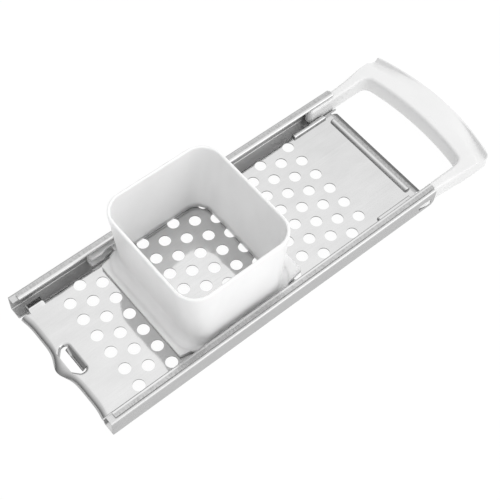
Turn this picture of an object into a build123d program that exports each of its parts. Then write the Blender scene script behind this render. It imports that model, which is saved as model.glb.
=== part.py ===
from build123d import *
import math
import os

# Spaetzle maker: a perforated steel plate between two channel rails, a hopper that slides on it,
# and a moulded D handle plugged into the rail ends.
#
# Millimetres, +Z up. The handle is at +X, the hook nose at -X, left is +Y. The origin is the centre
# of the bounding box's bottom: the plane that both rail floors stand on.

# ---------------------------------------------------------------- driving dimensions
sheet = 0.8                 # thickness of the stainless sheet
plate_z = 4.0               # top face of the perforated plate above the rail floors' undersides
rail_height = 14.4          # rail floor underside to the top of the rail's inward flange

# perforated field
pitch = 13.5                # distance between neighbouring hole centres
hole_r = 3.8
hole_rows = 16
holes_per_row = 6
first_row_x = -122.3
row_step = pitch * math.sqrt(3) / 2

# steel body, along X
rail_front = -150.4
rail_rear = 98.2
field_front = -131.0        # the sheet is divided here into front panel, perforated field, rear panel
field_rear = 58.5
lip_root = -143.4           # straight line where the rolled front lip begins

# rail section, distances from the middle plane
plate_half = 41.0           # the flat sheet's half width
step_in = 42.0              # centre line at the top of the step down into the rail
floor_in = 42.9             # and at its bottom
wall_mid = 51.0             # centre line of the outer wall
flange_in = 45.9            # inner end of the inward flange
hem_out = 49.2              # outer edge of the folded-back hem
hem_front = -146.3
hem_bend = 0.55             # centre-line radius of the hem's fold
bend = 1.1                  # centre-line radius of the rail's bends

# hopper
box_x = -49.5               # middle of the box along X
rim_size = (78.6, 85.2)
foot_size = (68.8, 83.0)
rim_r = 14.5
foot_r = 12.5
rim_z = 61.8
box_wall = 2.0
foot_fillet = 3.0
base_ends = (-93.7, -1.3)
base_z = (4.4, 6.9)
base_half = 40.6            # base plate's half width behind the tapered corners
base_end_half = 38.4        # and at its two ends
base_taper = 13.0
runner_ends = (-97.0, 1.9)
runner_y = (43.5, 49.9)
runner_z = (1.2, 10.8)
runner_wall = 1.7
runner_waist = 1.3          # the runner's inner edge is drawn in by this between its ends
bridge_ends = (-81.0, -15.0)

# handle
arm_tip_x = 77.1
arm_y = (43.5, 50.0)
handle_z = (0.9, 13.3)
arm_end_half = 52.1         # outer half width of the handle at its corners
arm_split_x = 121.0         # the moulding is divided here into two arms and the grip
grip_out_x = 153.2
grip_out_r = 168.0
grip_in_x = 131.4
grip_in_r = 202.0
grip_corner_r = 5.8
arm_full_x = 126.0          # from here the moulding has its full width
handle_round = 1.8

# pressed details
lip_half = 40.6             # half width of the rolled front edge
lip_stations = 40           # sections along the rolled front edge
hook_half = 13.0            # half width of the hook nose
slot_rear = -138.8          # straight rear side of the hanging slot
slot_shoulder = -143.0      # from here forward the slot narrows
slot_front = -147.0
slot_wide = 10.4            # the slot's half widths, at its rear and at its front
slot_narrow = 5.8
collar_width = 2.1          # soft entry around the hanging slot
collar_depth = 2.6
lip_collar_x = -147.3       # in front of this the collar runs into the front lip
flap_x = -141.4             # the slot's rear side is drawn on, sloping forward and down to here
flap_z = 0.75
flap_half = 8.6
stop_x = (-144.1, -133.8)
stop_y = (38.6, 45.0)
stop_rise = 2.2
rib_x = (60.5, 87.5)
rib_y = (39.2, 42.2)
rib_rise = 2.0
bead_x = 90.2               # middle of the cross bead
bead_half_length = 35.8
bead_half_width = 2.3
bead_rise = 2.0
rear_knee_x = 94.4          # the plate's rear edge slopes down from here
rear_knee_r = 2.4
rear_edge_z = 0.9
rear_roll_half = 39.4
window_x = (84.6, 95.0)     # latch window in each rail's wall
window_z = (3.4, 9.0)
window_r = 1.6
rail_corner_r = 6.0         # rounded lower rear corner of each rail's wall


def save(node, shape):
    """Write one node's STEP file."""
    export_step(shape, f"parts/{node}.step")


def block(x, y, z):
    """Box from its (low, high) pairs."""
    centre = ((x[0] + x[1]) / 2, (y[0] + y[1]) / 2, (z[0] + z[1]) / 2)
    return Pos(*centre) * Box(x[1] - x[0], y[1] - y[0], z[1] - z[0])


def mirrored(shape):
    """The right-hand twin of a left-hand shape."""
    return mirror(shape, about=Plane.XZ)


def along_x(section_yz, x):
    """Extrude a sketch drawn as (y, z) from x[0] to x[1]."""
    plane = Plane(origin=(x[0], 0, 0), x_dir=(0, 1, 0), z_dir=(1, 0, 0))
    return extrude(plane * section_yz, amount=x[1] - x[0])


def plan(outline, z):
    """Extrude a closed outline of (x, y) edges between two heights."""
    return Pos(0, 0, z[0]) * extrude(make_face(outline), amount=z[1] - z[0])


# ---------------------------------------------------------------- steel body
def hole_y(row, index):
    """Y of a hole; every second row is shifted by half a pitch."""
    shift = pitch / 4 if row % 2 else -pitch / 4
    return (index - (holes_per_row - 1) / 2) * pitch + shift


def perforated_plate():
    z = (plate_z - sheet, plate_z)
    plate = block((field_front, field_rear), (-plate_half, plate_half), z)
    hole = Cylinder(hole_r, 3 * sheet)
    middle = plate_z - sheet / 2
    holes = [
        Pos(first_row_x + row * row_step, hole_y(row, index), middle) * hole
        for row in range(hole_rows)
        for index in range(holes_per_row)
    ]
    return plate - holes


def rail_section():
    """The sheet's path from the plate's edge, down, out, up and back inward."""
    low = sheet / 2
    level = plate_z - sheet / 2
    top = rail_height - sheet / 2
    corners = [
        (plate_half, level),
        (step_in, level),
        (floor_in, low),
        (wall_mid, low),
        (wall_mid, top),
        (flange_in, top),
    ]
    return trace(FilletPolyline(*corners, radius=bend), line_width=sheet)


def latch_window():
    """Cutter for the window and the rounded lower rear corner of a rail's wall."""
    window = block(window_x, (wall_mid - sheet, wall_mid + sheet), window_z)
    window = fillet(window.edges().filter_by(Axis.Y), window_r)
    start = rail_rear - rail_corner_r
    corner = block((start, rail_rear + 1), (wall_mid - sheet, wall_mid + sheet), (-1, rail_corner_r))
    disc = Pos(start, wall_mid, rail_corner_r) * Rot(90, 0, 0) * Cylinder(rail_corner_r, 4 * sheet)
    return window + (corner - disc)


def left_rail():
    return along_x(rail_section(), (rail_front, rail_rear)) - latch_window()


def left_hem():
    """The flange's edge folded back over its top, with a narrow gap under it."""
    low = rail_height - sheet / 2
    high = low + 2 * hem_bend
    fold = ThreePointArc((flange_in, low), (flange_in - hem_bend, low + hem_bend), (flange_in, high))
    strip = Line((flange_in, high), (hem_out, high))
    return along_x(trace(Wire([fold, strip]), line_width=sheet), (hem_front, rail_rear))


def slot_prism(grow, z):
    """D-shaped hanging slot just behind the front lip, straight at the rear, grown by a margin."""
    half = [(slot_rear, slot_wide), (slot_shoulder, slot_wide), (slot_front, slot_narrow)]
    other_half = [(x, -y) for x, y in reversed(half)]
    shape = make_face(FilletPolyline(*half, *other_half, radius=2.4, close=True))
    if grow:
        shape = offset(shape, amount=grow)
    return Pos(0, 0, z[0]) * extrude(shape, amount=z[1] - z[0])


def slot_flap():
    """The slot's rear side, drawn on as a flap that slopes forward and down."""
    run = math.hypot(slot_rear - flap_x, plate_z - flap_z)
    lean = (sheet * (plate_z - flap_z) / run, sheet * (slot_rear - flap_x) / run)
    top = (slot_rear + 0.4, plate_z - 0.45 * sheet)
    section = make_face(Polyline(
        top, (flap_x, flap_z), (flap_x + lean[0], flap_z - lean[1]), (slot_rear + sheet, plate_z - 1.5 * sheet),
        close=True,
    ))
    plane = Plane(origin=(0, flap_half, 0), x_dir=(1, 0, 0), z_dir=(0, -1, 0))
    return extrude(plane * section, amount=2 * flap_half)


def slot_collar():
    """The slot's edge, drawn down into a short collar with a soft entry."""
    outer = slot_prism(collar_width, (plate_z - collar_depth, plate_z)) - slot_prism(0, (0, plate_z + 1))
    entry = outer.faces().sort_by(Axis.Z)[-1].inner_wires()[0].edges()
    outer = fillet(entry, collar_width - 0.2)
    under = (0, plate_z - sheet)
    inner = slot_prism(collar_width + 1, under) - slot_prism(sheet, (-1, plate_z))
    entry = inner.faces().sort_by(Axis.Z)[-1].inner_wires()[0].edges()
    inner = fillet(entry, collar_width - 1.0)
    collar = outer - inner + slot_flap()
    return collar & block((lip_collar_x, -130), (-20, 20), (0, plate_z + 1))


def lip_station(y):
    """Where the front lip's centre line leaves the flat, turns and ends at one Y, as (x, z) points.

    The edge runs forward in the middle as the hook nose, and flares a little beside the rails."""
    nose = math.exp(-((y / 8.2) ** 2))
    flare = math.exp(-(((abs(y) - 41.5) / 6.0) ** 2))
    level = plate_z - sheet / 2
    start_x = lip_root - 0.9 - 2.6 * math.exp(-((y / 12.0) ** 2)) - 1.4 * flare
    edge = (-148.7 - 4.3 * nose - 1.2 * flare, level - 2.75 - 0.45 * nose)
    corner = (edge[0] + 1.3 + 1.8 * nose, level)
    return (start_x, level), corner, edge


def lip_section(y):
    """Cross-section of the front lip: flat at its root, rolled down to its edge."""
    start, corner, edge = lip_station(y)
    run = math.hypot(edge[0] - corner[0], edge[1] - corner[1])
    normal = (-(corner[1] - edge[1]) / run, (corner[0] - edge[0]) / run)
    sides = []
    for half in (sheet / 2, -sheet / 2):
        root = (lip_root, start[1] + half)
        begin = (start[0], start[1] + half)
        middle = (corner[0] + 0.45 * half * normal[0], corner[1] + half)
        end = (edge[0] + half * normal[0], edge[1] + half * normal[1])
        sides.append([Vector(x, y, z) for x, z in (root, begin, middle, end)])
    top, under = sides
    edges = [
        Line(top[0], top[1]),
        Bezier(top[1], top[2], top[3]),
        Line(top[3], under[3]),
        Bezier(under[3], under[2], under[1]),
        Line(under[1], under[0]),
        Line(under[0], top[0]),
    ]
    return Face(Wire(edges))


def front_lip():
    """The whole rolled front edge with its hook nose."""
    stations = [lip_half * (2 * i / lip_stations - 1) for i in range(lip_stations + 1)]
    return Solid.make_loft([lip_section(y).outer_wire() for y in stations])


def slot_zone():
    """All of the sheet that the slot and its collar take up."""
    collar = block((lip_collar_x, -130), (-20, 20), (-1, plate_z + 1))
    grown = slot_prism(collar_width, (-1, plate_z + 1)) & collar
    return grown + slot_prism(0, (-1, plate_z + 1))


def front_panel():
    """Flat sheet in front of the holes, with the slot's collar."""
    panel = block((lip_root, field_front), (-plate_half, plate_half), (plate_z - sheet, plate_z))
    return panel - slot_zone() + slot_collar()


def front_lip_pieces():
    """The rolled front edge, divided into the hook nose and a plain lip at each side."""
    lip = front_lip() - slot_zone()
    side = (hook_half, 60)
    hook = lip & block((-200, 0), (-hook_half, hook_half), (-5, 9))
    left = lip & block((-200, 0), side, (-5, 9))
    return hook, left


def left_stop():
    """Pressed stop at the front: a slope up from the plate and a steep face over the rail."""
    top = plate_z + stop_rise
    section = make_face(Polyline(
        (stop_y[0], plate_z), (stop_y[0] + 2.6, top), (stop_y[1], top), (stop_y[1], sheet / 2),
        (floor_in, sheet / 2), (step_in, plate_z - sheet / 2), (plate_half, plate_z - sheet / 2),
        (plate_half, plate_z), close=True,
    ))
    stop = along_x(section, stop_x)
    stop = fillet(stop.edges().group_by(Axis.Z)[-1], 0.8)
    return stop - left_rail()


def left_rib():
    """Pressed rib along the rear of the plate's edge."""
    top = plate_z + rib_rise
    inside = plate_z - 0.75 * sheet
    section = make_face(Polyline(
        (rib_y[0], plate_z), (rib_y[0], top), (rib_y[1], top), (rib_y[1], inside),
        (plate_half, inside), (plate_half, plate_z), close=True,
    ))
    rib = along_x(section, rib_x)
    rib = fillet(rib.edges().group_by(Axis.Z)[-1], 0.9)
    return rib - left_rail()


def rear_panel():
    """Plain rear end of the plate, with its edge turned down in a slope."""
    start_x = rear_knee_x - 1.2
    level = plate_z - sheet / 2
    flat = block((field_rear, start_x), (-plate_half, plate_half), (plate_z - sheet, plate_z))
    corners = [(start_x, level), (rear_knee_x, level), (rail_rear - sheet / 2, rear_edge_z)]
    path = FilletPolyline(*corners, radius=rear_knee_r)
    plane = Plane(origin=(0, rear_roll_half, 0), x_dir=(1, 0, 0), z_dir=(0, -1, 0))
    slope = extrude(plane * trace(path, line_width=sheet), amount=2 * rear_roll_half)
    return flat + slope


def cross_bead():
    length = 2 * bead_half_length
    arc = ThreePointArc((-bead_half_width, 0), (0, bead_rise), (bead_half_width, 0))
    section = make_face([arc, Line((bead_half_width, 0), (-bead_half_width, 0))])
    plane = Plane(origin=(bead_x, bead_half_length, plate_z), x_dir=(1, 0, 0), z_dir=(0, -1, 0))
    bead = extrude(plane * section, amount=length)
    ends = bead.faces().group_by(Axis.Y)
    rims = [e for f in (ends[0][0], ends[-1][0]) for e in f.edges() if e.geom_type != GeomType.LINE]
    return fillet(rims, 1.1)


# ---------------------------------------------------------------- hopper
def drafted_box(shrink, low, high):
    """Solid with rounded corners that widens evenly from the foot's size to the rim's size."""
    def level(z):
        part = (z - base_z[1]) / (rim_z - base_z[1])
        wide = [foot + (rim - foot) * part - 2 * shrink for foot, rim in zip(foot_size, rim_size)]
        radius = foot_r + (rim_r - foot_r) * part - shrink
        return Pos(box_x, 0, z) * RectangleRounded(*wide, radius)
    return loft([level(low), level(high)])


def base_outline():
    """Base plate's outline: its four corners are drawn in a little."""
    rear, front = base_ends[1], base_ends[0]
    corners = [
        (front, base_end_half), (front + base_taper, base_half),
        (rear - base_taper, base_half), (rear, base_end_half),
        (rear, -base_end_half), (rear - base_taper, -base_half),
        (front + base_taper, -base_half), (front, -base_end_half),
    ]
    return FilletPolyline(*corners, radius=1.2, close=True)


def hopper_moulding():
    """Box and base plate in one, with the box's foot filleted into the plate, and its opening."""
    bridge = block(bridge_ends, (-runner_y[1] + runner_wall, runner_y[1] - runner_wall), base_z)
    body = plan(base_outline(), base_z) + bridge + drafted_box(0, base_z[0], rim_z)
    reach = (foot_size[0] / 2 + 0.2, foot_size[1] / 2 + 0.2)
    foot = [
        edge for edge in body.edges()
        if abs(edge.center().Z - base_z[1]) < 0.01
        and abs(edge.center().X - box_x) < reach[0]
        and abs(edge.center().Y) < reach[1]
    ]
    body = fillet(foot, foot_fillet)
    body -= drafted_box(box_wall, base_z[0] - 1, rim_z + 1)
    return fillet(body.edges().group_by(Axis.Z)[-1], 0.85)


def hopper_pieces():
    """The moulding divided at the top of its base plate: open box above, flat base below."""
    body = hopper_moulding()
    box = body & block((-200, 200), (-60, 60), (base_z[1], rim_z + 1))
    base = body & block((-200, 200), (-60, 60), base_z)
    return box, base


def left_runner():
    """Runner that fills the rail: a channel open towards the box, its inner edge waisted.

    Past the bridge its web is open too, so that each end is a springy loop."""
    front, rear = runner_ends
    inside = (runner_z[0] + runner_wall, runner_z[1] - runner_wall)
    section = (
        block(runner_ends, runner_y, runner_z)
        - block((front - 1, rear + 1), (runner_y[0] - 1, runner_y[1] - runner_wall), inside)
        - block((front + runner_wall, bridge_ends[0] - 1), (runner_y[0], runner_y[1] + 1), inside)
        - block((bridge_ends[1] + 1, rear - runner_wall), (runner_y[0], runner_y[1] + 1), inside)
    )
    inner = runner_y[0]
    waist = inner + runner_waist
    outline = FilletPolyline(
        (front, runner_y[1]), (front, inner), (front + 8, inner), (front + 12, waist),
        (rear - 12, waist), (rear - 8, inner), (rear, inner), (rear, runner_y[1]),
        radius=1.4, close=True,
    )
    return section & plan(outline, runner_z)


# ---------------------------------------------------------------- handle
def arc_x(middle_x, radius, y):
    """X, at a distance y from the middle plane, of an arc that bulges towards +X."""
    return middle_x - radius + math.sqrt(radius ** 2 - y ** 2)


def handle_plan():
    """Plan of the whole handle moulding: two arms and the arched grip, around the finger gap."""
    outer_x = arc_x(grip_out_x, grip_out_r, arm_end_half)
    half = [
        (arm_tip_x, 0), (arm_tip_x, arm_y[1]), (rail_rear, arm_y[1]),
        (arm_full_x, arm_end_half), (outer_x, arm_end_half),
    ]
    other_half = [(x, -y) for x, y in reversed(half)]
    arch = ThreePointArc(half[-1], (grip_out_x, 0), other_half[0])
    outside = make_face([Polyline(*half), arch, Polyline(*other_half)])
    inner_x = arc_x(grip_in_x, grip_in_r, arm_y[0])
    arch = ThreePointArc((inner_x, arm_y[0]), (grip_in_x, 0), (inner_x, -arm_y[0]))
    legs = Polyline(
        (inner_x, -arm_y[0]), (arm_tip_x - 1, -arm_y[0]), (arm_tip_x - 1, arm_y[0]), (inner_x, arm_y[0]),
    )
    gap = make_face([arch, legs])
    gap = fillet(gap.vertices().group_by(Axis.X)[-1], grip_corner_r)
    return outside - gap


def handle_moulding():
    """The whole handle, as high as the inside of a rail, with every edge rounded."""
    body = extrude(Pos(0, 0, handle_z[0]) * handle_plan(), amount=handle_z[1] - handle_z[0])
    upright = body.edges().filter_by(Axis.Z)
    corners = [edge for edge in upright if edge.center().X > arm_full_x + 1 and abs(edge.center().Y) > arm_y[1]]
    tips = [edge for edge in upright if edge.center().X < arm_tip_x + 1]
    body = fillet(corners + tips, 2.6)
    levels = body.edges().group_by(Axis.Z)
    return fillet(levels[0] + levels[-1], handle_round)


def handle_pieces():
    """The moulding divided into its left arm and its grip."""
    body = handle_moulding()
    arm = body & block((0, arm_split_x), (0, 60), (-1, 16))
    grip = body & block((arm_split_x, 200), (-60, 60), (-1, 16))
    return arm, grip


def snap_lug():
    """Wedge on the left arm that snaps into the rail's window."""
    x = (window_x[0] + 0.7, window_x[1] - 0.7)
    z = (window_z[0] + 0.6, window_z[1] - 0.6)
    outer = wall_mid + sheet / 2
    section = make_face(Polyline((x[0], arm_y[1]), (x[1], arm_y[1]), (x[1], outer), (x[1] - 3, outer), close=True))
    return Pos(0, 0, z[0]) * extrude(section, amount=z[1] - z[0])


def nodes():
    """Every node's name and shape."""
    arm, grip = handle_pieces()
    hook, left_lip = front_lip_pieces()
    box, base = hopper_pieces()
    parts = {
        "perforated_plate": perforated_plate(),
        "front_panel": front_panel(),
        "hook_nose": hook,
        "rear_panel": rear_panel(),
        "cross_bead": cross_bead(),
        "hopper_box": box,
        "hopper_base": base,
        "handle_grip": grip,
        "left_front_stop": left_stop(),
    }
    twins = {
        "front_lip": left_lip,
        "rail": left_rail(),
        "rail_hem": left_hem(),
        "rear_rib": left_rib(),
        "runner": left_runner(),
        "handle_arm": arm,
        "snap_lug": snap_lug(),
    }
    for name, shape in twins.items():
        parts["left_" + name] = shape
        parts["right_" + name] = mirrored(shape)
    return parts


if __name__ == "__main__":
    os.makedirs("parts", exist_ok=True)
    for name, shape in nodes().items():
        save(name, shape)
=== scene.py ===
import math

import bmesh
import bpy
from mathutils import Matrix, Vector


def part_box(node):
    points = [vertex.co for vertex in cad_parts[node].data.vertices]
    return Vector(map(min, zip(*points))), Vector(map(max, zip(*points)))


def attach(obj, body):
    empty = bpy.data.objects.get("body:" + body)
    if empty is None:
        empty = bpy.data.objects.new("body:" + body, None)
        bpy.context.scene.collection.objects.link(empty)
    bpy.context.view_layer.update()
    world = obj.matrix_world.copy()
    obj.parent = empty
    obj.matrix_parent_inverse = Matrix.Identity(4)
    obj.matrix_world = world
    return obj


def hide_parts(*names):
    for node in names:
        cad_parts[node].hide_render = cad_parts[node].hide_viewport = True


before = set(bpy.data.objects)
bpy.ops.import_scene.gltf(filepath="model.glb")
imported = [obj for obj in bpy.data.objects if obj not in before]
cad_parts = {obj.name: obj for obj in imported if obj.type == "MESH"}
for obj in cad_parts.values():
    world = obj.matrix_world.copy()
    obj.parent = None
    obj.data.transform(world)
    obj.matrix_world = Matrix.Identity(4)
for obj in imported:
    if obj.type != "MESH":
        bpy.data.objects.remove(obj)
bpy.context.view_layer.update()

MM = 0.001

# ---------------------------------------------------------------- camera
CAMERA_AZIMUTH = math.radians(-42.4)
CAMERA_ELEVATION = math.radians(58.5)
CAMERA_ROLL = math.radians(3.22)
CAMERA_TARGET = Vector((-15.8, -7.3, 4.0)) * MM
CAMERA_DISTANCE = 694.7 * MM
CAMERA_LENS = 82.06


def add_camera():
    """Camera above the hook nose's right-hand side, looking along the plate towards the handle."""
    data = bpy.data.cameras.new("camera")
    data.lens = CAMERA_LENS
    data.sensor_width = 36.0
    data.clip_start = 0.01
    data.clip_end = 50.0
    camera = bpy.data.objects.new("camera", data)
    bpy.context.scene.collection.objects.link(camera)
    flat = math.cos(CAMERA_ELEVATION)
    level_right = Vector((math.cos(CAMERA_AZIMUTH), math.sin(CAMERA_AZIMUTH), 0))
    level_back = Vector((math.sin(CAMERA_AZIMUTH), -math.cos(CAMERA_AZIMUTH), 0))
    back = level_back * flat + Vector((0, 0, math.sin(CAMERA_ELEVATION)))
    level_up = back.cross(level_right)
    right = level_right * math.cos(CAMERA_ROLL) + level_up * math.sin(CAMERA_ROLL)
    up = back.cross(right)
    turn = Matrix((right, up, back)).transposed().to_4x4()
    camera.matrix_world = Matrix.Translation(CAMERA_TARGET + back * CAMERA_DISTANCE) @ turn
    bpy.context.scene.camera = camera


# ---------------------------------------------------------------- node helpers
class Nodes:
    """A material's or world's node tree, with one short call for each kind of node."""

    def __init__(self, tree):
        self.tree = tree
        tree.nodes.clear()

    def add(self, kind, **settings):
        node = self.tree.nodes.new(kind)
        for key, value in settings.items():
            setattr(node, key, value)
        return node

    def link(self, source, target):
        self.tree.links.new(source, target)

    def place(self, stretch=(1, 1, 1)):
        """The row frame's coordinates in metres, stretched along its axes."""
        coordinates = self.add("ShaderNodeTexCoord")
        mapping = self.add("ShaderNodeMapping")
        mapping.inputs["Scale"].default_value = stretch
        self.link(coordinates.outputs["Object"], mapping.inputs["Vector"])
        return mapping.outputs["Vector"]

    def noise(self, where, scale, detail=3.0, roughness=0.5):
        node = self.add("ShaderNodeTexNoise")
        node.inputs["Scale"].default_value = scale
        node.inputs["Detail"].default_value = detail
        node.inputs["Roughness"].default_value = roughness
        self.link(where, node.inputs["Vector"])
        return node.outputs["Fac"]

    def spread(self, value, low, high, from_low=0.3, from_high=0.7):
        """Map a value from one range to another, clamped."""
        node = self.add("ShaderNodeMapRange")
        numbers = {"From Min": from_low, "From Max": from_high, "To Min": low, "To Max": high}
        for name, number in numbers.items():
            node.inputs[name].default_value = number
        self.link(value, node.inputs["Value"])
        return node.outputs["Result"]

    def math(self, operation, first, second):
        node = self.add("ShaderNodeMath", operation=operation)
        for socket, value in zip(node.inputs, (first, second)):
            if isinstance(value, (int, float)):
                socket.default_value = value
            else:
                self.link(value, socket)
        return node.outputs["Value"]

    def size(self, vector, axis):
        """The absolute value of one component of a vector."""
        parts = self.add("ShaderNodeSeparateXYZ")
        self.link(vector, parts.inputs["Vector"])
        return self.math("ABSOLUTE", parts.outputs[axis], 0.0)

    def less(self, value, share):
        """A value with a share of it taken away."""
        return self.math("MULTIPLY", value, self.math("SUBTRACT", 1.0, share))

    def grey(self, value):
        """A grey colour from a value."""
        node = self.add("ShaderNodeCombineColor")
        for name in ("Red", "Green", "Blue"):
            self.link(value, node.inputs[name])
        return node.outputs["Color"]

    def bump(self, height, distance, strength=1.0, after=None):
        node = self.add("ShaderNodeBump")
        node.inputs["Distance"].default_value = distance
        node.inputs["Strength"].default_value = strength
        self.link(height, node.inputs["Height"])
        if after is not None:
            self.link(after, node.inputs["Normal"])
        return node.outputs["Normal"]

    def surface(self, shader):
        output = self.add("ShaderNodeOutputMaterial")
        self.link(shader.outputs["BSDF"], output.inputs["Surface"])


def new_material(name):
    material = bpy.data.materials.new(name)
    material.use_nodes = True
    return material, Nodes(material.node_tree)


# ---------------------------------------------------------------- materials
EDGE_ROUGHER = 0.25         # roughness added on steep faces, which also get painted shade
BAND_ROUGHER = 0.3          # roughness added for each unit of tone lost in the darker band


def steel(name, reflectance, roughness, wave, streak=0.4e-6, steep_shade=None, darker_band=None):
    """Bright cold-rolled stainless sheet: almost a mirror, gently wavy, with fine rolling streaks
    along X and faint smears. Wave and streak are relief depths in metres. The steep-face setting
    is painted shade: the tone share lost on steep faces, and the two values of |normal Z| that it
    fades out between; those faces are also made rougher. The band setting gives an axis, the two
    distances out along it that a darker, speckled band fades in between, and the least and most
    tone share lost in the band; on the rear panel this band is painted shade."""
    material, nodes = new_material(name)
    streaks = nodes.noise(nodes.place((1.2, 260, 260)), scale=6.0, detail=4.0, roughness=0.6)
    smears = nodes.noise(nodes.place((1, 2.5, 1)), scale=38.0, detail=4.0, roughness=0.62)
    waves = nodes.noise(nodes.place((1, 1.4, 1)), scale=62.0, detail=1.0, roughness=0.4)
    shader = nodes.add("ShaderNodeBsdfPrincipled")
    shader.inputs["Metallic"].default_value = 1.0
    streak_tone = nodes.spread(streaks, low=0.975, high=1.02)
    tone = nodes.math("MULTIPLY", nodes.spread(smears, *reflectance), streak_tone)
    streak_rough = nodes.spread(streaks, low=-0.01, high=0.02)
    rough = nodes.math("ADD", nodes.spread(smears, *roughness), streak_rough)
    # a darker speckled band along one axis; on the rear panel it is painted shade
    if darker_band:
        axis, start, full, least, most = darker_band
        grain = nodes.noise(nodes.place((1, 0.5, 1)), scale=1000.0, detail=2.0, roughness=0.7)
        band_depth = nodes.spread(grain, most, least, from_low=0.36, from_high=0.56)
        inside = nodes.spread(nodes.size(nodes.place(), axis), 0.0, 1.0, from_low=start, from_high=full)
        band_darkening = nodes.math("MULTIPLY", band_depth, inside)
        tone = nodes.less(tone, band_darkening)
        rough = nodes.math("ADD", rough, nodes.math("MULTIPLY", band_darkening, BAND_ROUGHER))
    # painted shade: steep faces darkened, by fine lines of varying depth, and made rougher
    if steep_shade:
        shade_loss, steep, level = steep_shade
        lines = nodes.noise(nodes.place((240, 1.5, 240)), scale=3.0, detail=3.0, roughness=0.6)
        depth = nodes.spread(lines, low=shade_loss * 0.7, high=shade_loss * 1.25)
        slope = nodes.size(nodes.add("ShaderNodeTexCoord").outputs["Normal"], "Z")
        on_steep = nodes.spread(slope, 1.0, 0.0, from_low=steep, from_high=level)
        tone = nodes.less(tone, nodes.math("MULTIPLY", depth, on_steep))
        rougher = nodes.spread(slope, EDGE_ROUGHER, 0.0, from_low=steep, from_high=level)
        rough = nodes.math("ADD", rough, rougher)
    nodes.link(nodes.grey(tone), shader.inputs["Base Color"])
    nodes.link(rough, shader.inputs["Roughness"])
    relief = nodes.bump(waves, distance=wave)
    relief = nodes.bump(streaks, distance=streak, after=relief)
    nodes.link(relief, shader.inputs["Normal"])
    nodes.surface(shader)
    return material


def plastic(name, ior, translucency, depth):
    """A white plastic's material, its nodes, and its shader with even subsurface scattering."""
    material, nodes = new_material(name)
    shader = nodes.add("ShaderNodeBsdfPrincipled")
    shader.inputs["IOR"].default_value = ior
    shader.inputs["Subsurface Weight"].default_value = translucency
    shader.inputs["Subsurface Radius"].default_value = (1.0, 1.0, 1.0)
    shader.inputs["Subsurface Scale"].default_value = depth
    return material, nodes, shader


def milky_plastic():
    """Hopper: natural polypropylene, satin and a little translucent, with a faint moulding cloud."""
    material, nodes, shader = plastic("milky_polypropylene", ior=1.49, translucency=0.6, depth=0.005)
    cloud = nodes.noise(nodes.place((1, 1, 0.5)), scale=34.0, detail=3.0, roughness=0.55)
    satin = nodes.noise(nodes.place(), scale=1400.0, detail=3.0, roughness=0.6)
    scuffs = nodes.noise(nodes.place((2, 160, 160)), scale=5.0, detail=5.0, roughness=0.7)
    nodes.link(nodes.grey(nodes.spread(cloud, low=0.80, high=0.865)), shader.inputs["Base Color"])
    satin_rough = nodes.spread(satin, low=-0.03, high=0.03)
    rough = nodes.math("ADD", nodes.spread(scuffs, low=0.33, high=0.42), satin_rough)
    nodes.link(rough, shader.inputs["Roughness"])
    relief = nodes.bump(satin, distance=4e-6)
    relief = nodes.bump(scuffs, distance=3e-6, after=relief)
    nodes.link(relief, shader.inputs["Normal"])
    nodes.surface(shader)
    return material


def white_plastic():
    """Handle: opaque white moulded plastic, semi-gloss, with a very fine eroded texture."""
    material, nodes, shader = plastic("white_moulded_plastic", ior=1.5, translucency=0.12, depth=0.0012)
    cloud = nodes.noise(nodes.place(), scale=26.0, detail=3.0, roughness=0.5)
    texture = nodes.noise(nodes.place(), scale=1900.0, detail=2.0, roughness=0.6)
    flow = nodes.noise(nodes.place((1, 0.35, 1)), scale=70.0, detail=3.0, roughness=0.5)
    nodes.link(nodes.grey(nodes.spread(cloud, low=0.735, high=0.765)), shader.inputs["Base Color"])
    nodes.link(nodes.spread(flow, low=0.27, high=0.36), shader.inputs["Roughness"])
    relief = nodes.bump(texture, distance=2.5e-6)
    relief = nodes.bump(flow, distance=1e-5, after=relief)
    nodes.link(relief, shader.inputs["Normal"])
    nodes.surface(shader)
    return material


# ---------------------------------------------------------------- mesh helper
MERGE_WITHIN = 0.002        # millimetres


def add_mesh(name, points, faces, material):
    """A smooth mesh object, its points in millimetres."""
    mesh = bpy.data.meshes.new(name)
    mesh.from_pydata([Vector(p) * MM for p in points], [], faces)
    form = bmesh.new()
    form.from_mesh(mesh)
    bmesh.ops.remove_doubles(form, verts=form.verts, dist=MERGE_WITHIN * MM)
    bmesh.ops.recalc_face_normals(form, faces=form.faces)
    form.to_mesh(mesh)
    form.free()
    for face in mesh.polygons:
        face.use_smooth = True
    mesh.materials.append(material)
    piece = bpy.data.objects.new(name, mesh)
    bpy.context.scene.collection.objects.link(piece)
    return piece


def ease(value, low, high):
    """0 below low, 1 above high, smooth in between."""
    t = min(1.0, max(0.0, (value - low) / (high - low)))
    return t * t * (3 - 2 * t)


# ---------------------------------------------------------------- handle
grip_low, grip_high = [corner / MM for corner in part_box("handle_grip")]
arm_low, arm_high = [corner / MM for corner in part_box("left_handle_arm")]
rail_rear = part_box("left_rail")[1].x / MM

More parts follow.
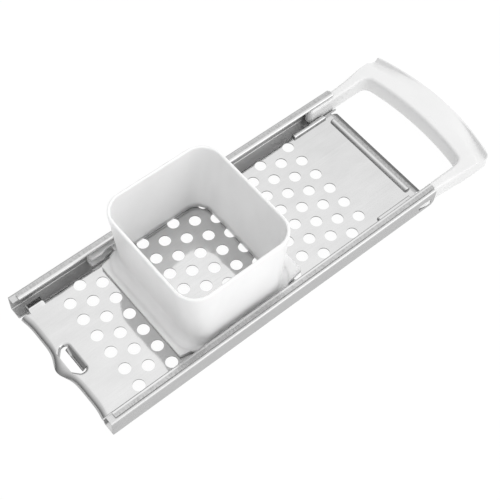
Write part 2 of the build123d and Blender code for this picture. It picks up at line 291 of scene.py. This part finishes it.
GRIP_OUT_RADIUS = 168.0
GRIP_IN_X = 131.4
GRIP_IN_RADIUS = 202.0
ARM_OUT_IN_RAIL = 50.0      # the outer side's distance from the middle plane, inside the rail
CORNER_IN_RADIUS = 5.8
CORNER_OUT_RADIUS = 2.6
SIDE_FULL_X = 132.0         # the outer side has its full width from here
GRIP_RISE = 1.1             # the grip's top stands this far above the arms
ARM_EDGE = 1.8
LIP_EDGE = 0.65
HOLLOW_DEPTH = 3.4
HOLLOW_START_Y = 12.0
HOLLOW_FULL_Y = 51.0
TOP_POINTS = 30             # points across the top of a section
TOP_CROWDING = 1.7          # how strongly these crowd towards the lip
EDGE_POINTS = 6             # steps round each rounded edge of a section
CROWN_POWER = 2.2
GRIP_SOFTER = 0.6           # extra radius of the inner top edge on the grip
GRIP_FROM_X, GRIP_TO_X = 112.0, 134.0
LIP_FROM, LIP_TO = 1.1, 2.5                 # distances in from the outer edge: the lip's inner slope
TROUGH_FROM, TROUGH_TO = 3.2, 12.0          # and the hollow's gentle rise behind it
TURN_X = 119.0                              # the corner between arm and grip starts here
TURN_IN_Y, TURN_OUT_Y = 34.0, 39.0          # and ends here on the inner and outer side
ARM_STEPS = 34
GRIP_STEPS = 34
INNER_TURN_STEPS = (20, 24, 22)             # before, round and after the corner
OUTER_TURN_STEPS = (34, 10, 22)
TIP_ROUND = 3.0
TIP_STEPS = 8


def arc_x(middle_x, radius, y):
    """X, at a distance y from the middle plane, of an arc that bulges towards +X."""
    return middle_x - radius + math.sqrt(radius ** 2 - y ** 2)


def outer_side_y(x):
    """The handle's outer side: straight inside the rail, then flaring to its full width."""
    return ARM_OUT_IN_RAIL + (grip_high.y - ARM_OUT_IN_RAIL) * ease(x, rail_rear, SIDE_FULL_X)


def rounded_corner(start, corner, end, radius, counts):
    """Points from start round the corner to end: along one leg, round the arc, along the other."""
    start, corner, end = Vector(start), Vector(corner), Vector(end)
    to_start = (start - corner).normalized()
    to_end = (end - corner).normalized()
    half = to_start.angle(to_end) / 2
    reach = radius / math.tan(half)
    first, last = corner + to_start * reach, corner + to_end * reach
    centre = corner + (to_start + to_end).normalized() * radius / math.sin(half)
    arm_a, arm_b = first - centre, last - centre
    sweep = arm_a.angle(arm_b)
    points = [start.lerp(first, i / counts[0]) for i in range(counts[0])]
    for i in range(counts[1] + 1):
        t = i / counts[1] * sweep
        points.append(centre + (arm_a * math.sin(sweep - t) + arm_b * math.sin(t)) / math.sin(sweep))
    points += [last.lerp(end, i / counts[2]) for i in range(1, counts[2] + 1)]
    return points


def inner_side_x(y):
    return arc_x(GRIP_IN_X, GRIP_IN_RADIUS, y)


def outer_side_x(y):
    return arc_x(grip_high.x, GRIP_OUT_RADIUS, y)


def handle_stations():
    """Pairs of (inner, outer) plan points along the left half, from the arm's tip to mid-grip."""
    tip = arm_low.x
    pairs = []
    for i in range(ARM_STEPS):
        x = tip + (TURN_X - tip) * i / ARM_STEPS
        pairs.append(((x, arm_low.y), (x, outer_side_y(x))))
    inner_corner = (inner_side_x(arm_low.y), arm_low.y)
    inner_end = (inner_side_x(TURN_IN_Y), TURN_IN_Y)
    inner_start = (TURN_X, arm_low.y)
    inner = rounded_corner(inner_start, inner_corner, inner_end, CORNER_IN_RADIUS, INNER_TURN_STEPS)
    outer_corner = (outer_side_x(grip_high.y), grip_high.y)
    outer_end = (outer_side_x(TURN_OUT_Y), TURN_OUT_Y)
    outer_start = (TURN_X, grip_high.y)
    outer = rounded_corner(outer_start, outer_corner, outer_end, CORNER_OUT_RADIUS, OUTER_TURN_STEPS)
    for a, b in zip(inner, outer):
        side_y = min(b.y, outer_side_y(b.x))
        bulge = outer_side_x(b.y) - b.x if b.y < grip_high.y - CORNER_OUT_RADIUS else 0
        pairs.append((tuple(a), (b.x + max(0, bulge), side_y)))
    for i in range(1, GRIP_STEPS + 1):
        share = 1 - i / GRIP_STEPS
        a, b = TURN_IN_Y * share, TURN_OUT_Y * share
        pairs.append(((inner_side_x(a), a), (outer_side_x(b), b)))
    return pairs


def grip_share(x):
    """0 on the arms, 1 on the grip."""
    return ease(x, GRIP_FROM_X, GRIP_TO_X)


def handle_top(x, y):
    """Height of the handle's top at a plan point: flat arms, a crowned grip, and a hollow behind
    the thin lip along the grip's outer edge, deepest where it runs out at each side."""
    y = abs(y)
    from_edge = outer_side_x(min(y, grip_high.y)) - x
    width = grip_high.x - GRIP_IN_X
    across = min(1.0, max(0.0, from_edge / width))
    crown = GRIP_RISE * (1 - (1 - across) ** CROWN_POWER)
    height = grip_high.z + grip_share(x) * crown
    deep = HOLLOW_DEPTH * ease(y, HOLLOW_START_Y, HOLLOW_FULL_Y)
    trough = ease(from_edge, LIP_FROM, LIP_TO) * (1 - ease(from_edge, TROUGH_FROM, TROUGH_TO))
    return height - deep * trough


def quarter_turn(steps):
    """Angles from 0 to a right angle, in equal steps."""
    return [i / steps * math.pi / 2 for i in range(steps + 1)]


def handle_section(inner, outer, inset=0.0):
    """One closed loop round the handle at a station, drawn in by inset at a rounded tip."""
    inner, outer = Vector(inner), Vector(outer)
    width = (outer - inner).length
    across = (outer - inner) / width
    share = grip_share((inner.x + outer.x) / 2)
    soft = ARM_EDGE + GRIP_SOFTER * share
    fine = ARM_EDGE + (LIP_EDGE - ARM_EDGE) * grip_share(outer.x)
    low = grip_low.z

    def at(distance, z):
        plan = inner + across * distance
        return (plan.x, plan.y, z)

    def top(distance):
        plan = inner + across * distance
        return handle_top(plan.x, plan.y)

    turns = quarter_turn(EDGE_POINTS)
    loop = [at(ARM_EDGE * (1 - math.sin(t)), low + ARM_EDGE * (1 - math.cos(t))) for t in turns]
    edge_z = top(soft)
    loop.append(at(0, low + (edge_z - low) * 0.4))
    loop.append(at(0, low + (edge_z - low) * 0.7))
    loop += [at(soft * (1 - math.cos(t)), edge_z - soft * (1 - math.sin(t))) for t in turns]
    run = width - soft - fine
    for i in range(1, TOP_POINTS):
        distance = width - fine - run * (1 - i / TOP_POINTS) ** TOP_CROWDING
        loop.append(at(distance, top(distance)))
    edge_z = top(width - fine)
    loop += [at(width - fine * (1 - math.sin(t)), edge_z - fine * (1 - math.cos(t))) for t in turns]
    loop.append(at(width, low + (edge_z - low) * 0.7))
    loop.append(at(width, low + (edge_z - low) * 0.4))
    loop += [at(width - ARM_EDGE * (1 - math.cos(t)), low + ARM_EDGE * (1 - math.sin(t))) for t in turns]
    if inset:
        _, centre_y, centre_z = at(width / 2, (low + grip_high.z) / 2)
        keep_y = 1 - inset / (width / 2)
        keep_z = 1 - inset / ((grip_high.z - low) / 2)
        loop = [
            (x, centre_y + (y - centre_y) * keep_y, centre_z + (z - centre_z) * keep_z)
            for x, y, z in loop
        ]
    return loop


def handle_loops():
    """All section loops from the left arm's tip round the grip to the right arm's tip."""
    pairs = handle_stations()
    loops = []
    inner, outer = pairs[0]
    for t in reversed(quarter_turn(TIP_STEPS)[:-1]):
        x = inner[0] + TIP_ROUND * (1 - math.sin(t))
        loops.append(handle_section((x, inner[1]), (x, outer[1]), TIP_ROUND * (1 - math.cos(t))))
    loops += [handle_section(a, b) for a, b in pairs if a[0] > inner[0] + TIP_ROUND]
    twins = [[(x, -y, z) for x, y, z in loop] for loop in reversed(loops[:-1])]
    return loops + twins


def handle():
    """The whole handle as one smooth moulding."""
    loops = handle_loops()
    size = len(loops[0])
    points = [p for loop in loops for p in loop]
    faces = []
    for row in range(len(loops) - 1):
        for i in range(size):
            j = (i + 1) % size
            faces.append((row * size + i, row * size + j, (row + 1) * size + j, (row + 1) * size + i))
    faces.append(tuple(range(size)))
    last = (len(loops) - 1) * size
    faces.append(tuple(last + i for i in reversed(range(size))))
    piece = add_mesh("handle_moulding", points, faces, white_plastic_finish)
    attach(piece, "body")
    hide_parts("handle_grip", "left_handle_arm", "right_handle_arm")


# ---------------------------------------------------------------- hopper
hopper_low, hopper_high = [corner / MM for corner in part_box("hopper_box")]
base_low, base_high = [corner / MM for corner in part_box("hopper_base")]

RIM_HALF = (39.3, 42.6)
FOOT_HALF = (34.4, 41.5)
RIM_CORNER = 14.5
FOOT_CORNER = 12.5
BOX_WALL = 2.0
RIM_EDGE = 0.9
FOOT_SWEEP = (7.0, 0.7)     # radii of the hollow curve from wall to base, along X and Y
FOOT_SKIRT = (0.9, 0.2)     # how far the curve's end runs on, just under the base plate's top
SKIRT_DROP = 0.04
SKIRT_LOW = 0.2             # the skirt stops this far above the base plate's underside
SKIRT_MIDDLE = 1.0
SWEEP_STEPS = 16
WALL_STEPS = 10
RIM_STEPS = 6
INNER_STEPS = 12
BOX_X = (hopper_low.x + hopper_high.x) / 2


def rounded_outline(half, corner, z, side_steps=14, corner_steps=14):
    """Points round a rectangle with rounded corners, in order, at one height."""
    centres = [(half[0] - corner, half[1] - corner), (corner - half[0], half[1] - corner),
               (corner - half[0], corner - half[1]), (half[0] - corner, corner - half[1])]
    points = []
    for quarter, (x, y) in enumerate(centres):
        for i in range(corner_steps + 1):
            t = (quarter + i / corner_steps) * math.pi / 2
            points.append(Vector((BOX_X + x + corner * math.cos(t), y + corner * math.sin(t), z)))
        start = points[-1]
        next_x, next_y = centres[(quarter + 1) % 4]
        t = (quarter + 1) * math.pi / 2
        end = Vector((BOX_X + next_x + corner * math.cos(t), next_y + corner * math.sin(t), z))
        points += [start.lerp(end, i / side_steps) for i in range(1, side_steps)]
    return points


def sweep_out(radius, above):
    """How far the hollow foot curve stands out, at a height above the base plate's top."""
    if above >= radius:
        return 0.0
    return radius - math.sqrt(radius ** 2 - (radius - max(0.0, above)) ** 2)


def box_loop(z, inward, skirt=(0, 0)):
    """Outline of the box at a height, drawn in from its outer face by a distance, or let out along
    X and Y by a skirt."""
    share = (z - base_high.z) / (hopper_high.z - base_high.z)
    above = z - base_high.z
    half = [
        foot + (rim - foot) * share - inward + run_on
        + (0 if inward >= BOX_WALL else sweep_out(sweep, above))
        for foot, rim, sweep, run_on in zip(FOOT_HALF, RIM_HALF, FOOT_SWEEP, skirt)
    ]
    return rounded_outline(half, FOOT_CORNER + (RIM_CORNER - FOOT_CORNER) * share - inward, z)


def hopper():
    """The open box with its hollow-curved foot and rounded rim; the base plate stays a CAD node."""
    base, rim = base_high.z, hopper_high.z
    sweep = FOOT_SWEEP[0]
    wall = rim - RIM_EDGE - base - sweep
    heights = [base + sweep * (1 - math.cos(t)) for t in quarter_turn(SWEEP_STEPS)]
    heights += [base + sweep + wall * i / WALL_STEPS for i in range(1, WALL_STEPS + 1)]
    skirt_heights = (base_low.z + SKIRT_LOW, base - SKIRT_MIDDLE, base - SKIRT_DROP)
    loops = [box_loop(z, 0.0, FOOT_SKIRT) for z in skirt_heights]
    loops += [box_loop(z, 0.0) for z in heights]
    turns = quarter_turn(RIM_STEPS)
    for t in turns[1:]:
        loops.append(box_loop(rim - RIM_EDGE * (1 - math.sin(t)), RIM_EDGE * (1 - math.cos(t))))
    for t in turns:
        inward = BOX_WALL - RIM_EDGE * (1 - math.sin(t))
        loops.append(box_loop(rim - RIM_EDGE * (1 - math.cos(t)), inward))
    inner_top = rim - RIM_EDGE
    for i in range(1, INNER_STEPS + 1):
        loops.append(box_loop(inner_top - (inner_top - base_low.z) * i / INNER_STEPS, BOX_WALL))
    size = len(loops[0])
    points = [p for loop in loops for p in loop]
    faces = []
    for row in range(len(loops)):
        below = row * size
        above = (row + 1) % len(loops) * size
        for i in range(size):
            j = (i + 1) % size
            faces.append((below + i, below + j, above + j, above + i))
    piece = add_mesh("hopper_shell", points, faces, milky_finish)
    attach(piece, "hopper")
    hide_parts("hopper_box")


# ---------------------------------------------------------------- light and floor
FLOOR_HALF = 3.0
FLOOR_GLOW = 0.95
FLOOR_ALBEDO = (0.055, 0.065)
FLOOR_DROP = 0.05           # the floor lies this far under the rails, in millimetres


def floor():
    """Plain pale floor that glows evenly, as a lit white sweep does."""
    material, nodes = new_material("pale_floor")
    speckle = nodes.noise(nodes.place(), scale=3.0, detail=2.0, roughness=0.5)
    shader = nodes.add("ShaderNodeBsdfPrincipled")
    nodes.link(nodes.grey(nodes.spread(speckle, *FLOOR_ALBEDO)), shader.inputs["Base Color"])
    shader.inputs["Roughness"].default_value = 0.9
    shader.inputs["Specular IOR Level"].default_value = 0.0
    shader.inputs["Emission Color"].default_value = (1, 1, 1, 1)
    shader.inputs["Emission Strength"].default_value = FLOOR_GLOW
    nodes.surface(shader)
    mesh = bpy.data.meshes.new("floor")
    signs = [(-1, -1), (1, -1), (1, 1), (-1, 1)]
    corners = [(x * FLOOR_HALF, y * FLOOR_HALF, -FLOOR_DROP * MM) for x, y in signs]
    mesh.from_pydata(corners, [], [(0, 1, 2, 3)])
    mesh.materials.append(material)
    piece = bpy.data.objects.new("floor", mesh)
    bpy.context.scene.collection.objects.link(piece)


SKY_BASE = 0.55
SKY_SIDE = 0.46             # how much brighter the surround is towards the lit side
SKY_TOP = 0.79
SKY_PATCH = 0.22
LIT_SIDE = (0.62, -0.78, 0.0)
PATCH_DIRECTION = (0.187, 0.414, 0.891)
PATCH_EDGE = (0.93, 0.99)   # cosines from its direction, where the patch starts and is full


def toward(nodes, direction, vector):
    """How far a direction points along a vector."""
    node = nodes.add("ShaderNodeVectorMath", operation="DOT_PRODUCT")
    node.inputs[1].default_value = vector
    nodes.link(direction, node.inputs[0])
    return node.outputs["Value"]


def sky():
    """Soft white surround: brightest overhead, lighter on one side, with one soft patch above."""
    world = bpy.data.worlds.new("studio")
    world.use_nodes = True
    bpy.context.scene.world = world
    nodes = Nodes(world.node_tree)
    direction = nodes.add("ShaderNodeTexCoord").outputs["Generated"]
    height = nodes.math("MAXIMUM", toward(nodes, direction, (0, 0, 1)), 0.0)
    up = nodes.math("MULTIPLY", height, SKY_TOP)
    side = nodes.math("MULTIPLY", toward(nodes, direction, LIT_SIDE), SKY_SIDE)
    patch = nodes.spread(toward(nodes, direction, PATCH_DIRECTION), 0.0, SKY_PATCH, *PATCH_EDGE)
    level = nodes.math("ADD", nodes.math("ADD", up, side), nodes.math("ADD", patch, SKY_BASE))
    background = nodes.add("ShaderNodeBackground")
    nodes.link(nodes.grey(level), background.inputs["Color"])
    output = nodes.add("ShaderNodeOutputWorld")
    nodes.link(background.outputs["Background"], output.inputs["Surface"])


def softbox(name, place, size, power):
    """A square soft light that faces the middle of the object."""
    data = bpy.data.lights.new(name, "AREA")
    data.size = size
    data.energy = power
    light = bpy.data.objects.new(name, data)
    bpy.context.scene.collection.objects.link(light)
    place = Vector(place)
    light.location = place
    light.rotation_mode = "QUATERNION"
    light.rotation_quaternion = (-place).to_track_quat("-Z", "Y")


# ---------------------------------------------------------------- the whole scene
scene = bpy.context.scene
scene.view_settings.view_transform = "Standard"
add_camera()
sky()
floor()
softbox("key", place=(0.55, -1.0, 0.8), size=0.8, power=2.2)

BRIGHT = (0.55, 0.59)
FINE_STREAK = 0.1e-6
# painted shade on steep faces below: plate hole walls, lip bends, bead flank, rear bend, rail walls
steel_plate = steel("steel_plate", BRIGHT, roughness=(0.04, 0.08), wave=140e-6, steep_shade=(0.64, 0.05, 0.35))
steel_lip = steel("steel_lip", BRIGHT, roughness=(0.08, 0.14), wave=40e-6, steep_shade=(0.34, 0.35, 0.90))
# the rear panel's darker band is painted shade between the bead and the rear edge
steel_rear = steel("steel_rear", BRIGHT, roughness=(0.06, 0.12), wave=90e-6, steep_shade=(0.62, 0.80, 0.985),
                   darker_band=("X", 0.0918, 0.0930, 0.28, 0.48))
steel_bead = steel("steel_bead", (0.56, 0.60), roughness=(0.18, 0.24), wave=10e-6, streak=FINE_STREAK,
                   steep_shade=(0.34, 0.55, 0.90))
steel_rail = steel("steel_rail", (0.56, 0.60), roughness=(0.34, 0.42), wave=10e-6, streak=FINE_STREAK,
                   steep_shade=(0.08, 0.30, 0.80))
steel_hem = steel("steel_hem", (0.60, 0.64), roughness=(0.12, 0.18), wave=10e-6,
                  darker_band=("Y", 0.0465, 0.0470, 0.26, 0.42))
milky_finish = milky_plastic()
white_plastic_finish = white_plastic()

steel_finishes = {
    "left_rail": steel_rail, "right_rail": steel_rail,
    "left_rail_hem": steel_hem, "right_rail_hem": steel_hem,
    "left_front_lip": steel_lip, "right_front_lip": steel_lip, "hook_nose": steel_lip,
    "cross_bead": steel_bead, "rear_panel": steel_rear,
}
for name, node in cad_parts.items():
    slot = node.data.materials[0].name
    if slot == "steel":
        finish = steel_finishes.get(name, steel_plate)
    else:
        finish = milky_finish if slot == "hopper_plastic" else white_plastic_finish
    node.data.materials.clear()
    node.data.materials.append(finish)

handle()
hopper()
